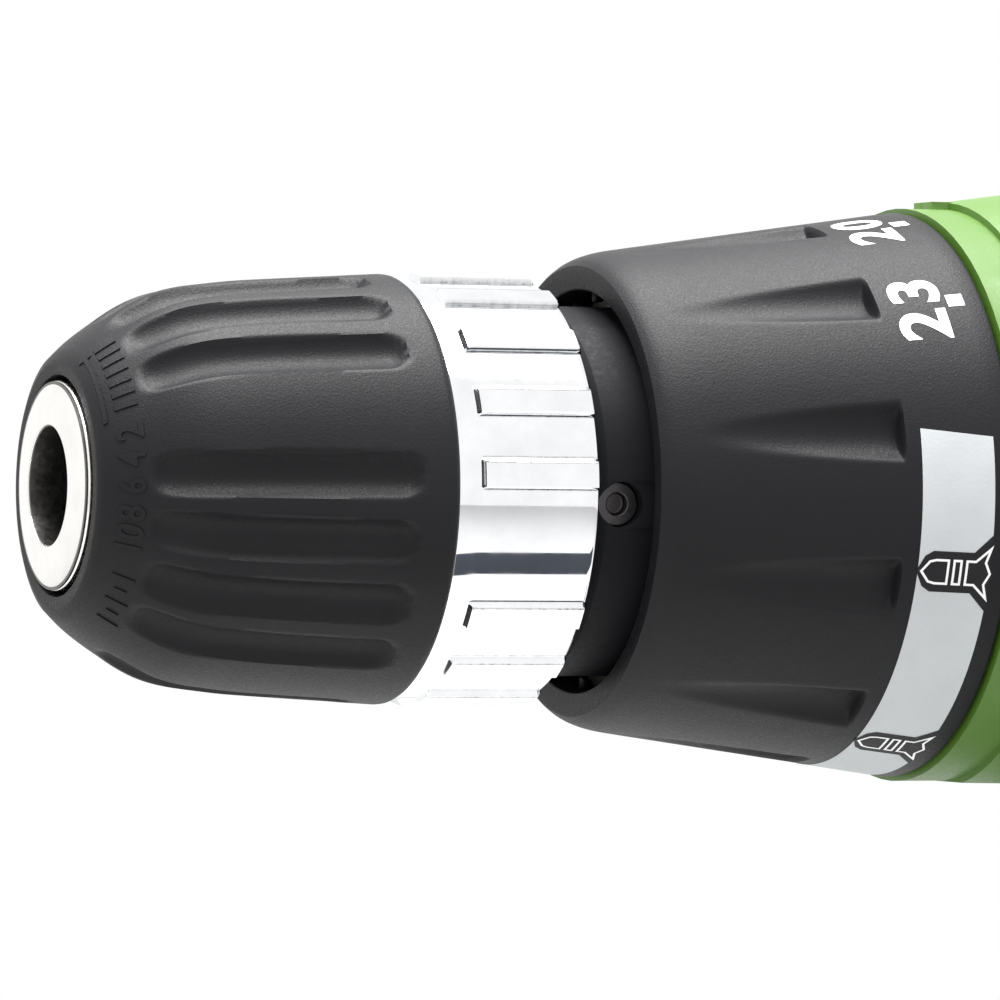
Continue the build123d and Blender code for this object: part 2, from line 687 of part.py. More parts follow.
def battery_contacts():
    leaves = []
    for y in (-8, 0, 8):
        for side in (-1, 1):
            lo, hi = sorted((y + side * 0.9, y + side * 1.4))
            leaves.append(block(-37, -27, lo, hi, 50.4, 56).solids()[0])
    return Compound(children=leaves)


def battery_screws():
    screws = []
    for x, y in battery_screw_places():
        head = Pos(x, y, 7.9) * Cylinder(2.6, 2.0)
        stem = Pos(x, y, 25) * Cylinder(1.5, 32.3)
        screws += (head + stem).solids()
    return Compound(children=list(screws))


def battery_button(side):
    cap = button_block(side, 35.0, 39.1, 0)
    for k in range(4):
        lo, hi = sorted((side * 38.7, side * 40))
        cap = cap - block(-23 + 4.6 * k, -21.6 + 4.6 * k, lo, hi, 17, 27)
    return cap


# ---- write every piece ----
os.makedirs("parts", exist_ok=True)
shell = casing()
half_space = block(-200, 200, 0, 200, -10, 300)
grip = grip_band(0) - grip_band(GRIP_DEPTH)
grip = grip - block(-28, 40, -6, 6, 0, 300)
for x, z in boss_places():
    grip = grip - Pos(x, -20, z) * Rot(90, 0, 0) * Cylinder(3.0, 32)
shell = shell - grip
save(shell & half_space, "housing_left")
save(shell - half_space, "housing_right")
save(grip & half_space, "grip_left")
save(grip - half_space, "grip_right")
save(rear_cap(), "rear_cap")
save(housing_screws(), "housing_screws")
save(lamp_line(3.5, -4.0, 0.6), "lamp_lens")

save(chuck_body(), "chuck_body")
save(chuck_rear_ring(), "chuck_rear_ring")
save(chuck_screw(), "chuck_screw")
save(chuck_sleeve(), "chuck_sleeve")
save(chuck_nut(), "chuck_nut")
for index in range(3):
    save(jaw(index), f"chuck_jaw_{index + 1}")

save(spindle(), "spindle")
save(bearing_outer(), "bearing_outer_race")
save(bearing_inner(), "bearing_inner_race")
save(gearbox_nose(), "gearbox_nose")
save(nose_screws(), "nose_screws")
save(gearbox_housing(), "gearbox_housing")
save(gearbox_cover(), "gearbox_cover")
save(gearbox_screws(), "gearbox_screws")
save(ring_gear(81.0, 92.5), "ring_gear_output")
save(ring_gear(93.2, 103.5), "ring_gear_input")
save(clutch_balls(), "clutch_balls")
save(ring(73.4, 74.9, 18.4, GEARBOX_NOSE_R + 0.2), "clutch_washer")
save(clutch_spring(), "clutch_spring")
save(clutch_nut(), "clutch_nut")
save(clutch_collar(), "clutch_collar")
carrier = ring(91.2, 94.5, CARRIER_R) + carrier_pins(94.4, 103.0)
save(carrier + external_gear(SUN_TEETH, 82.9, 91.4), "carrier_input")
for index in range(3):
    save(planet(STAGE_1_S, index), f"planet_input_{index + 1}")
    save(planet(STAGE_2_S, index), f"planet_output_{index + 1}")

save(motor_can(), "motor_can")
save(motor_magnets(), "motor_magnets")
save(motor_endbell(), "motor_endbell")
save(motor_brushes(), "motor_brushes")
save(ring(95.0, 176.5, SHAFT_R), "motor_shaft")
save(external_gear(SUN_TEETH, 95.2, 103.2) - ring(90, 110, SHAFT_R), "motor_pinion")
save(armature_core(), "armature_core")
save(armature_windings(), "armature_windings")
save(ring(158, 171.5, 5.0, SHAFT_R), "commutator")
save(motor_fan(), "motor_fan")

save(trigger(), "trigger")
save(switch_body(), "switch_body")
save(direction_selector(), "direction_selector")
save(power_leads(), "power_leads")
save(terminal_block(), "terminal_block")
save(terminal_blades(), "terminal_blades")
save(battery_case(), "battery_case")
save(battery_lid(), "battery_lid")
save(battery_cells(), "battery_cells")
save(battery_contacts(), "battery_contacts")
save(battery_screws(), "battery_screws")
save(battery_button(1), "battery_button_left")
save(battery_button(-1), "battery_button_right")
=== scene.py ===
import json
import math

import bmesh
import bpy
from mathutils import Matrix, Vector


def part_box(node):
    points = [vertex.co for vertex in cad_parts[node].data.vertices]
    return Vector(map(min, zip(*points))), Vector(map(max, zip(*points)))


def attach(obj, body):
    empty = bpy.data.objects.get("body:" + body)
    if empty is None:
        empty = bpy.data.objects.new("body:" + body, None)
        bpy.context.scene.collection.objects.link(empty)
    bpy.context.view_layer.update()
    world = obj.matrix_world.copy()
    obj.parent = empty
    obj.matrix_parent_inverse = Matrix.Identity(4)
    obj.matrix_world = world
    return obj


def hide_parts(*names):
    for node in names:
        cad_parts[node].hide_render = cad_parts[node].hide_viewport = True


# A cordless drill dressed for its picture: chuck, clutch collar, casing, handle and battery.
# Sizes are in millimetres along the spindle: s is the distance back from the chuck's metal nose.

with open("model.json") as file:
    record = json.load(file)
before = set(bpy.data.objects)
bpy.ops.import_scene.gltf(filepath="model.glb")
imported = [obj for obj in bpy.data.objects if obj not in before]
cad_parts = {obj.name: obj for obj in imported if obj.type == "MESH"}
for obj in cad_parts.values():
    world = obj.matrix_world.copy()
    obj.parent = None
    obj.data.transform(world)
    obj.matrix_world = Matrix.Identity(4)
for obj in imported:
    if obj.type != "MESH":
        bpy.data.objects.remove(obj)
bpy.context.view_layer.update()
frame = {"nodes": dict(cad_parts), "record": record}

MM = 0.001
NOSE_EDGE = 0.4
chuck_low, chuck_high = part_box("chuck_body")
NOSE_X = chuck_high.x - NOSE_EDGE * MM
AXIS_Z = (chuck_low.z + chuck_high.z) / 2

# How near, in metres, points are merged, and how flat a join is dissolved.
SAME_POINT = 1e-7
SAME_CORNER = 2e-6
FLAT_JOIN = math.radians(0.5)
# The angle, in degrees, past which an edge is shaded sharp.
TURNED_SHARP = 35.0
SCULPTED_SHARP = 40.0
RIB_SHARP = 30.0
CASING_SHARP = 30.0


# ---------------------------------------------------------------- shapes
def on_tool(s, radius, angle=0.0):
    """A point s behind the nose and radius off the spindle; angle 0 is the tool's left, 90 its top."""
    turn = math.radians(angle)
    across, up = radius * math.cos(turn), radius * math.sin(turn)
    return Vector((NOSE_X - s * MM, across * MM, AXIS_Z + up * MM))


def polar(point):
    """The s, radius and angle of a point."""
    across, up = point.y, point.z - AXIS_Z
    return (NOSE_X - point.x) / MM, math.hypot(across, up) / MM, math.degrees(math.atan2(up, across))


def ease(points, value):
    """A smooth curve through (place, height) points, flat-ended outside them."""
    if value <= points[0][0]:
        return points[0][1]
    if value >= points[-1][0]:
        return points[-1][1]
    slopes = []
    for k in range(len(points)):
        before, after = points[max(k - 1, 0)], points[min(k + 1, len(points) - 1)]
        slopes.append((after[1] - before[1]) / (after[0] - before[0]))
    k = max(i for i in range(len(points) - 1) if points[i][0] <= value)
    (x0, y0), (x1, y1) = points[k], points[k + 1]
    width = x1 - x0
    t = (value - x0) / width
    start = (2 * t**3 - 3 * t**2 + 1) * y0 + (t**3 - 2 * t**2 + t) * width * slopes[k]
    end = (-2 * t**3 + 3 * t**2) * y1 + (t**3 - t**2) * width * slopes[k + 1]
    return start + end


def smooth_step(value, low, high):
    t = min(max((value - low) / (high - low), 0.0), 1.0)
    return t * t * (3 - 2 * t)


def soft_min(a, b, blend):
    """The smaller of two heights, rounded where they cross."""
    share = min(max(0.5 + 0.5 * (b - a) / blend, 0.0), 1.0)
    return b + (a - b) * share - blend * share * (1 - share)


def angle_to(angle, centre):
    """The signed turn from a centre, between -180 and 180."""
    return (angle - centre + 180) % 360 - 180


def outline_mesh(corners):
    """A bmesh holding a closed outline of (s, radius, corner rounding) in the tool's left plane."""
    bm = bmesh.new()
    verts = [bm.verts.new(on_tool(c[0], c[1])) for c in corners]
    for a, b in zip(verts, verts[1:] + verts[:1]):
        bm.edges.new((a, b))
    for vert, corner in zip(verts, corners):
        if len(corner) > 2:
            bmesh.ops.bevel(bm, geom=[vert], offset=corner[2] * MM, affect="VERTICES", segments=4,
                            profile=0.5, material=-1)
    return bm


def spin_round(bm, steps):
    """Turns an outline once round the spindle into a closed skin."""
    geometry = bm.verts[:] + bm.edges[:]
    bmesh.ops.spin(bm, geom=geometry, cent=(0, 0, AXIS_Z), axis=(1, 0, 0), angle=2 * math.pi,
                   steps=steps, use_merge=True)
    bmesh.ops.remove_doubles(bm, verts=bm.verts, dist=SAME_POINT)
    bmesh.ops.recalc_face_normals(bm, faces=bm.faces)


def piece(name, bm, material, body, stands_for=(), sharp=TURNED_SHARP):
    """Turns a bmesh into a finished piece that rides on a body, with its finish's slot if it has one."""
    mesh = bpy.data.meshes.new(name)
    bm.to_mesh(mesh)
    bm.free()
    mesh.polygons.foreach_set("use_smooth", [True] * len(mesh.polygons))
    mesh.set_sharp_from_angle(angle=math.radians(sharp))
    mesh.materials.append(material)
    made = bpy.data.objects.new(name, mesh)
    bpy.context.scene.collection.objects.link(made)
    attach(made, body)
    if stands_for:
        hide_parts(*stands_for)
    return made


def turned(name, corners, material, body, steps):
    bm = outline_mesh(corners)
    spin_round(bm, steps)
    piece(name, bm, material, body)


def softened(node, material, body, edge):
    """A CAD piece redrawn with its corners rounded, edge in mm, and its curves shaded smooth."""
    bm = bmesh.new()
    bm.from_mesh(frame["nodes"][node].data)
    bmesh.ops.remove_doubles(bm, verts=bm.verts, dist=SAME_CORNER)
    bmesh.ops.dissolve_limit(bm, angle_limit=FLAT_JOIN, verts=bm.verts, edges=bm.edges)
    made = piece(node + "_shown", bm, material, body, (node,), CASING_SHARP)
    rounding = made.modifiers.new("edges", "BEVEL")
    rounding.width = edge * MM
    rounding.segments = 2
    rounding.limit_method = "ANGLE"
    rounding.angle_limit = math.radians(CASING_SHARP)
    rounding.use_clamp_overlap = True
    rounding.harden_normals = False


# ---------------------------------------------------------------- finishes
def node_group(name, inputs, outputs):
    """An empty shader node group with named sockets."""
    made = bpy.data.node_groups.new(name, "ShaderNodeTree")
    for label, kind, value in inputs:
        socket = made.interface.new_socket(label, in_out="INPUT", socket_type=kind)
        socket.default_value = value
    for label, kind in outputs:
        made.interface.new_socket(label, in_out="OUTPUT", socket_type=kind)
    entry = made.nodes.new("NodeGroupInput")
    leave = made.nodes.new("NodeGroupOutput")
    return made, entry, leave


def add(tree, kind, **values):
    """A new shader node; each value goes to its socket of that name, or else to its setting."""
    node = tree.nodes.new(kind)
    for key, value in values.items():
        if key in node.inputs:
            node.inputs[key].default_value = value
        else:
            setattr(node, key, value)
    return node


def pitch_of(tree, entry):
    """The texture scale that gives marks of the group's Size, in mm."""
    pitch = add(tree, "ShaderNodeMath", operation="DIVIDE")
    pitch.inputs[0].default_value = 1 / MM
    tree.links.new(entry.outputs["Size"], pitch.inputs[1])
    return pitch


def moulded_grain():
    """The fine spark-eroded grain of a moulding: a height, and a mask of its polished high spots."""
    made, entry, leave = node_group("moulded_grain", [("Size", "NodeSocketFloat", 0.25)],
                                    [("Height", "NodeSocketFloat"), ("Mask", "NodeSocketFloat")])
    links = made.links
    place = add(made, "ShaderNodeTexCoord")
    pitch = pitch_of(made, entry)
    fine = add(made, "ShaderNodeTexNoise", Detail=3.0, Roughness=0.6)
    links.new(place.outputs["Object"], fine.inputs["Vector"])
    links.new(pitch.outputs[0], fine.inputs["Scale"])
    links.new(fine.outputs["Fac"], leave.inputs["Height"])
    high = add(made, "ShaderNodeMapRange")
    high.inputs["From Min"].default_value = 0.45
    high.inputs["From Max"].default_value = 0.7
    links.new(fine.outputs["Fac"], high.inputs["Value"])
    links.new(high.outputs["Result"], leave.inputs["Mask"])
    return made


def handling():
    """Broad uneven polish and dust from use: a colour, and a mask of the worn areas."""
    inputs = [("Colour", "NodeSocketColor", (0.1, 0.1, 0.1, 1)),
              ("Worn", "NodeSocketColor", (0.2, 0.2, 0.2, 1)),
              ("Amount", "NodeSocketFloat", 0.3), ("Size", "NodeSocketFloat", 12.0)]
    outputs = [("Colour", "NodeSocketColor"), ("Mask", "NodeSocketFloat")]
    made, entry, leave = node_group("handling", inputs, outputs)
    links = made.links
    place = add(made, "ShaderNodeTexCoord")
    pitch = pitch_of(made, entry)
    broad = add(made, "ShaderNodeTexNoise", Detail=6.0, Roughness=0.65)
    links.new(place.outputs["Object"], broad.inputs["Vector"])
    links.new(pitch.outputs[0], broad.inputs["Scale"])
    spread = add(made, "ShaderNodeMapRange")
    spread.inputs["From Min"].default_value = 0.35
    spread.inputs["From Max"].default_value = 0.75
    links.new(broad.outputs["Fac"], spread.inputs["Value"])
    amount = add(made, "ShaderNodeMath", operation="MULTIPLY")
    links.new(spread.outputs["Result"], amount.inputs[0])
    links.new(entry.outputs["Amount"], amount.inputs[1])
    mix = add(made, "ShaderNodeMix", data_type="RGBA")
    links.new(amount.outputs[0], mix.inputs["Factor"])
    links.new(entry.outputs["Colour"], mix.inputs[6])
    links.new(entry.outputs["Worn"], mix.inputs[7])
    links.new(mix.outputs[2], leave.inputs["Colour"])
    links.new(amount.outputs[0], leave.inputs["Mask"])
    return made


def hairlines():
    """Fine straight marks along or round the spindle, as a lathe or a polishing wheel leaves them."""
    inputs = [("Stretch", "NodeSocketVector", (1.0, 1.0, 1.0)), ("Size", "NodeSocketFloat", 1.0)]
    made, entry, leave = node_group("hairlines", inputs, [("Height", "NodeSocketFloat")])
    links = made.links
    place = add(made, "ShaderNodeTexCoord")
    stretch = add(made, "ShaderNodeVectorMath", operation="MULTIPLY")
    links.new(place.outputs["Object"], stretch.inputs[0])
    links.new(entry.outputs["Stretch"], stretch.inputs[1])
    pitch = pitch_of(made, entry)
    noise = add(made, "ShaderNodeTexNoise", Detail=4.0, Roughness=0.55)
    links.new(stretch.outputs["Vector"], noise.inputs["Vector"])
    links.new(pitch.outputs[0], noise.inputs["Scale"])
    links.new(noise.outputs["Fac"], leave.inputs["Height"])
    return made


GRAIN = moulded_grain()
HANDLING = handling()
HAIRLINES = hairlines()


def material(name, **values):
    """A material with a Principled shader; values are its own sockets."""
    made = bpy.data.materials.new(name)
    made.use_nodes = True
    shader = made.node_tree.nodes["Principled BSDF"]
    for key, value in values.items():
        shader.inputs[key.replace("_", " ")].default_value = value
    return made, made.node_tree, shader


def place_group(tree, source, **values):
    node = tree.nodes.new("ShaderNodeGroup")
    node.node_tree = source
    for key, value in values.items():
        node.inputs[key].default_value = value
    return node


def relief(tree, height, under, depth):
    """A bump of a depth in mm, from a height, for a shader or for a finer bump over it."""
    bump = add(tree, "ShaderNodeBump", Strength=1.0, Distance=depth * MM)
    tree.links.new(height, bump.inputs["Height"])
    tree.links.new(bump.outputs["Normal"], under.inputs["Normal"])
    return bump


def moulding(name, colour, worn, roughness, grain=0.25, depth=0.02, amount=0.35, level=0.5):
    """A moulded plastic or rubber: grain in the surface, broad unevenness in colour and gloss."""
    made, tree, shader = material(name, Specular_IOR_Level=level)
    use = place_group(tree, HANDLING, Colour=(*colour, 1), Worn=(*worn, 1), Amount=amount, Size=14.0)
    skin = place_group(tree, GRAIN, Size=grain)
    tree.links.new(use.outputs["Colour"], shader.inputs["Base Color"])
    gloss = add(tree, "ShaderNodeMapRange")
    gloss.inputs["To Min"].default_value = roughness + 0.06
    gloss.inputs["To Max"].default_value = roughness - 0.08
    tree.links.new(skin.outputs["Mask"], gloss.inputs["Value"])
    tree.links.new(gloss.outputs["Result"], shader.inputs["Roughness"])
    relief(tree, skin.outputs["Height"], shader, depth)
    return made


def metal(name, colour, roughness, mark=0.5, depth=0.003, spread=0.08, dull=0.9, stretch=(1.0, 1.0, 1.0)):
    """A bare or plated metal with the marks of its making."""
    made, tree, shader = material(name, Metallic=1.0)
    marks = place_group(tree, HAIRLINES, Stretch=stretch, Size=mark)
    faded = tuple(channel * dull for channel in colour)
    tone = place_group(tree, HANDLING, Colour=(*colour, 1), Worn=(*faded, 1), Amount=0.8, Size=3.0)
    tree.links.new(tone.outputs["Colour"], shader.inputs["Base Color"])
    gloss = add(tree, "ShaderNodeMapRange")
    gloss.inputs["From Min"].default_value = 0.3
    gloss.inputs["From Max"].default_value = 0.7
    gloss.inputs["To Min"].default_value = max(roughness - spread, 0.01)
    gloss.inputs["To Max"].default_value = roughness + spread
    tree.links.new(marks.outputs["Height"], gloss.inputs["Value"])
    tree.links.new(gloss.outputs["Result"], shader.inputs["Roughness"])
    relief(tree, marks.outputs["Height"], shader, depth)
    return made


PEBBLE_PITCH = 1.7
PEBBLE_DEPTH = 0.22


def pebble_grip(rubber):
    """Rounded pebbles moulded over the rubber grip, under its fine grain."""
    tree = rubber.node_tree
    fine_grain = tree.nodes["Principled BSDF"].inputs["Normal"].links[0].from_node
    place = add(tree, "ShaderNodeTexCoord")
    pebbles = add(tree, "ShaderNodeTexVoronoi", feature="SMOOTH_F1", Scale=1 / (PEBBLE_PITCH * MM),
                  Smoothness=0.35)
    tree.links.new(place.outputs["Object"], pebbles.inputs["Vector"])
    raised = relief(tree, pebbles.outputs["Distance"], fine_grain, PEBBLE_DEPTH)
    raised.invert = True


def shade_chrome_rib_feet(plated):
    """Painted grey shade in the corners along the chrome ring's ribs, from a per-vertex attribute of the
    ring piece itself.
    """
    tree = plated.node_tree
    shader = tree.nodes["Principled BSDF"]
    unshaded = shader.inputs["Base Color"].links[0].from_socket
    rib_shade = add(tree, "ShaderNodeAttribute", attribute_name="rib_shade")
    speckle = place_group(tree, GRAIN, Size=0.5)
    patchy = add(tree, "ShaderNodeMapRange")
    patchy.inputs["To Min"].default_value = 0.45
    tree.links.new(speckle.outputs["Mask"], patchy.inputs["Value"])
    amount = add(tree, "ShaderNodeMath", operation="MULTIPLY")
    tree.links.new(rib_shade.outputs["Fac"], amount.inputs[0])
    tree.links.new(patchy.outputs["Result"], amount.inputs[1])
    mix = add(tree, "ShaderNodeMix", data_type="RGBA")
    # The dark grey painted into the rib corners as shade.
    mix.inputs[7].default_value = (0.05, 0.055, 0.065, 1)
    tree.links.new(amount.outputs[0], mix.inputs["Factor"])
    tree.links.new(unshaded, mix.inputs[6])
    tree.links.new(mix.outputs[2], shader.inputs["Base Color"])


black_plastic = moulding("black_plastic", (0.0062, 0.0062, 0.0076), (0.0125, 0.0125, 0.0142), 0.46,
                         grain=0.2, depth=0.035, level=0.23)
green_plastic = moulding("green_plastic", (0.072, 0.165, 0.018), (0.088, 0.19, 0.026), 0.42,
                         grain=0.3, depth=0.014, amount=0.4)
grip_rubber = moulding("grip_rubber", (0.011, 0.011, 0.012), (0.02, 0.02, 0.021), 0.62,
                       grain=0.45, depth=0.05, amount=0.5, level=0.3)
pebble_grip(grip_rubber)
red_plastic = moulding("red_plastic", (0.42, 0.02, 0.015), (0.5, 0.05, 0.03), 0.4, grain=0.3, depth=0.01)
bearing_plastic = moulding("bearing_plastic", (0.006, 0.006, 0.0075), (0.01, 0.01, 0.012), 0.55,
                           grain=0.4, depth=0.01, level=0.13)
nylon = moulding("nylon", (0.62, 0.6, 0.54), (0.7, 0.68, 0.62), 0.45, grain=0.3, depth=0.006)
cell_wrap = moulding("cell_wrap", (0.03, 0.13, 0.34), (0.05, 0.17, 0.4), 0.3, grain=0.8, depth=0.006)
white_print = moulding("white_print", (0.86, 0.86, 0.86), (0.78, 0.78, 0.78), 0.5,
                       grain=0.3, depth=0.01, amount=0.3)
silver_print = moulding("silver_print", (0.55, 0.57, 0.585), (0.45, 0.47, 0.48), 0.6,
                        grain=0.3, amount=0.8, level=0.2)
black_print = moulding("black_print", (0.009, 0.009, 0.0105), (0.016, 0.016, 0.018), 0.5,
                       grain=0.3, depth=0.01, level=0.25)
ferrite = moulding("ferrite", (0.05, 0.05, 0.055), (0.08, 0.08, 0.085), 0.6, grain=0.2)
chrome = metal("chrome", (0.90, 0.91, 0.925), 0.045, mark=1.2, depth=0.0012, spread=0.03, dull=0.86,
               stretch=(1.0, 0.3, 0.3))
shade_chrome_rib_feet(chrome)
nose_steel = metal("nose_steel", (0.93, 0.915, 0.89), 0.22, spread=0.06)
jaw_steel = metal("jaw_steel", (0.16, 0.155, 0.15), 0.38, depth=0.004)
steel = metal("steel", (0.56, 0.56, 0.57), 0.28, mark=0.6, depth=0.004, stretch=(1.0, 0.2, 0.2))
dark_steel = metal("dark_steel", (0.09, 0.085, 0.085), 0.35, depth=0.006)
sintered_steel = metal("sintered_steel", (0.3, 0.3, 0.31), 0.5, mark=0.25, depth=0.01)
die_cast = metal("die_cast", (0.58, 0.59, 0.6), 0.42, mark=0.8, depth=0.01)
copper = metal("copper", (0.78, 0.4, 0.24), 0.28)
brass = metal("brass", (0.8, 0.62, 0.28), 0.3)
lens_clear = material("lens_clear", Transmission_Weight=1.0, Roughness=0.04, IOR=1.49,
                      Base_Color=(0.95, 0.97, 1.0, 1))[0]

# The finish of each material slot of the record.
SLOT_LOOKS = {
    "black_plastic": black_plastic, "green_plastic": green_plastic, "grip_rubber": grip_rubber,
    "chrome": chrome, "steel": steel, "dark_steel": dark_steel, "sintered_steel": sintered_steel,
    "motor_steel": die_cast, "die_cast": die_cast, "copper": copper, "brass": brass, "ferrite": ferrite,
    "nylon": nylon, "red_plastic": red_plastic, "cell_wrap": cell_wrap, "lens": lens_clear,
}

# CAD pieces that look unlike the rest of their slot.
OWN_LOOKS = {
    "nose_screws": dark_steel, "gearbox_nose": bearing_plastic, "chuck_body": jaw_steel,
    "chuck_jaw_1": jaw_steel, "chuck_jaw_2": jaw_steel, "chuck_jaw_3": jaw_steel,
}


def paint_nodes():
    """Every CAD piece takes the finish of its slot, or its own."""
    for row in frame["record"]["subparts"]:
        node = frame["nodes"][row["node"]]
        node.data.materials.clear()
        node.data.materials.append(OWN_LOOKS.get(row["node"], SLOT_LOOKS[row["material_slot"]]))


# Casing pieces, the body that each rides on and the width of its rounded edges.
SOFT_NODES = (
    ("housing_left", "housing", 0.5), ("housing_right", "housing", 0.5), ("grip_left", "housing", 0.4),
    ("grip_right", "housing", 0.4), ("rear_cap", "housing", 0.5), ("housing_screws", "housing", 0.15),
    ("trigger", "trigger", 0.5), ("direction_selector", "selector", 0.3), ("battery_case", "battery", 0.6),
    ("battery_lid", "battery", 0.5), ("battery_button_left", "button_left", 0.4),
    ("battery_button_right", "button_right", 0.4), ("battery_screws", "battery", 0.15),
    ("gearbox_nose", "housing", 0.3), ("nose_screws", "housing", 0.12),
)


def soften_casing():
    slots = {row["node"]: row["material_slot"] for row in frame["record"]["subparts"]}
    for node, body, edge in SOFT_NODES:
        softened(node, OWN_LOOKS.get(node, SLOT_LOOKS[slots[node]]), body, edge)


# ---------------------------------------------------------------- chuck
SLEEVE_CURVE = ((0.0, 10.4), (0.6, 10.95), (2, 12.24), (4, 13.68), (6, 14.98), (8, 15.95), (10, 16.5),
                (12.5, 16.86), (16, 17.22), (29, 18.03))
SLEEVE_START = 0.6
SLEEVE_RUN = 27.7
SLEEVE_ROWS = 58
SLEEVE_STEPS = 480
GROOVE_PLACES = [3.6 - 18 * k for k in range(20) if k % 5 != 4]
GROOVE_CUT = 2.15
GROOVE_BALL_S = 24.0
GROOVE_DEPTH = ((3.3, -0.5), (3.9, 0.05), (4.7, 0.72), (5.9, 1.02), (8.0, 1.14), (11.0, 1.17), (24.0, 1.12))
# Only points within SKIN of the outer surface are cut, and a cut's edges are rounded by EDGE_BLEND.
SKIN = 0.25
EDGE_BLEND = 0.16


def sleeve_radius(s):
    return ease(SLEEVE_CURVE, s)


def groove_floor(s):
    """The deepest line of a grip groove: it follows the sleeve down and runs out of its nose."""
    back = min(s, GROOVE_BALL_S)
    return sleeve_radius(back) - ease(GROOVE_DEPTH, back)


def nearest(places, angle):
    """The place that an angle is closest to."""
    return min(places, key=lambda centre: abs(angle_to(angle, centre)))


def cut_grooves(bm):
    """Grip grooves as a ball cutter leaves them: a round trough with a round rear end."""
    for vert in bm.verts:
        s, radius, angle = polar(vert.co)
        if radius < sleeve_radius(s) - SKIN or s < 2.0:
            continue
        across = radius * math.radians(angle_to(angle, nearest(GROOVE_PLACES, angle)))
        behind = max(s - GROOVE_BALL_S, 0.0)
        inside = GROOVE_CUT**2 - across**2 - behind**2
        if inside <= -2.0:
            continue
        ball = math.sqrt(inside) if inside > 0 else inside
        cut = groove_floor(s) + GROOVE_CUT - ball
        vert.co = on_tool(s, soft_min(radius, cut, EDGE_BLEND), angle)


def make_sleeve():
    places = [SLEEVE_START + SLEEVE_RUN * k / SLEEVE_ROWS for k in range(SLEEVE_ROWS + 1)]
    front = [(0.34, 9.12, 0.1), (0.3, 10.25, 0.15)]
    rear = [(28.62, 17.96), (28.88, 17.8), (29.02, 17.6), (29.02, 16.6, 0.2), (26.0, 16.2)]
    inside = [(6.6, 9.4, 0.5), (5.0, 9.12)]
    bm = outline_mesh(front + [(s, sleeve_radius(s)) for s in places] + rear + inside)
    spin_round(bm, SLEEVE_STEPS)
    cut_grooves(bm)
    piece("sleeve", bm, black_plastic, "sleeve", ("chuck_sleeve",), SCULPTED_SHARP)


RING_RADIUS = 17.55
RING_STEPS = 900
RIB_HEIGHT = 0.55
RIB_PLACES = [4.0 + 20 * k for k in range(18) if k % 6 != 5]
# How wide, in degrees, each painted shade line along a rib's foot is.
RIB_SHADE_WIDTH = 0.36


def line_at(turn, place):
    """A narrow band, in degrees, that fades to both sides."""
    return max(0.0, 1 - abs(turn - place) / RIB_SHADE_WIDTH)


def raise_ribs(bm):
    """Flat-topped ribs with a steep lower flank and a sloping upper one, and painted shade along their feet.
    """
    rib_shade = bm.verts.layers.float.new("rib_shade")
    for vert in bm.verts:
        s, radius, angle = polar(vert.co)
        if radius < RING_RADIUS - 0.3 or s < 30.9:
            continue
        turn = angle_to(angle, nearest(RIB_PLACES, angle))
        lift = smooth_step(turn, -4.0, -3.4) * (1 - smooth_step(turn, 3.3, 4.6))
        start = smooth_step(s, 30.95, 31.25)
        end = 1 - 0.35 * smooth_step(s, 41.1, 41.4)
        vert.co = on_tool(s, radius + RIB_HEIGHT * lift * start * end, angle)
        along = start * (1 - smooth_step(s, 41.2, 41.4))
        # Painted shade lines at the feet of each rib's flanks.
        feet = max(line_at(turn, -3.9), line_at(turn, 3.2), 0.8 * line_at(turn, 4.7))
        vert[rib_shade] = feet * along


def make_rear_ring():
    rib_front = [30.9, 30.97, 31.05, 31.13, 31.2, 31.3]
    rib_rows = [31.6 + 1.55 * k for k in range(7)]
    corners = [(29.06, 16.6, 0.1), (29.06, RING_RADIUS, 0.06)]
    corners += [(s, RING_RADIUS) for s in rib_front + rib_rows + [41.15]]
    corners += [(41.3, RING_RADIUS - 0.06), (41.4, RING_RADIUS - 0.2), (41.4, 14.6, 0.2), (40.9, 14.6),
                (40.0, 16.2), (31.0, 16.2)]
    bm = outline_mesh(corners)
    spin_round(bm, RING_STEPS)
    raise_ribs(bm)
    piece("rear_ring", bm, chrome, "spindle", ("chuck_rear_ring",), RIB_SHARP)


NOSE_RADIUS = 8.66
NOSE_HOLE = 4.98
NOSE_DEPTH = 2.65
LINING_WALL = 0.08


def make_nose():
    """The metal nose, whose hole stands a little forward of its rim, and the hole's dark lining."""
    corners = [(-0.42, NOSE_HOLE, 0.1), (-0.04, 8.35, 0.1), (0.25, NOSE_RADIUS, 0.1),
               (NOSE_DEPTH, NOSE_RADIUS), (NOSE_DEPTH, NOSE_HOLE)]
    turned("nose", corners, nose_steel, "spindle", 192)
    inner = NOSE_HOLE - LINING_WALL
    lining = [(-0.3, inner, 0.05), (-0.3, NOSE_HOLE), (NOSE_DEPTH, NOSE_HOLE), (NOSE_DEPTH, inner, 0.05)]
    turned("nose_lining", lining, jaw_steel, "spindle", 128)


# ---------------------------------------------------------------- clutch collar
COLLAR_CURVE = ((46.3, 19.04), (46.8, 19.52), (47.6, 19.93), (48.8, 20.28), (50.3, 20.53), (53.3, 20.97),
                (66.6, 22.9), (76.0, 24.26))
POCKET_PLACES = [13.0 + 360 / 11 * k for k in range(11)]
POCKET_CUT = 3.05
POCKET_DEPTH = 1.3
POCKET_TIP_S = 50.3
POCKET_WALL_S = 66.6
COLLAR_STEPS = 528


def collar_radius(s):
    return ease(COLLAR_CURVE, s)


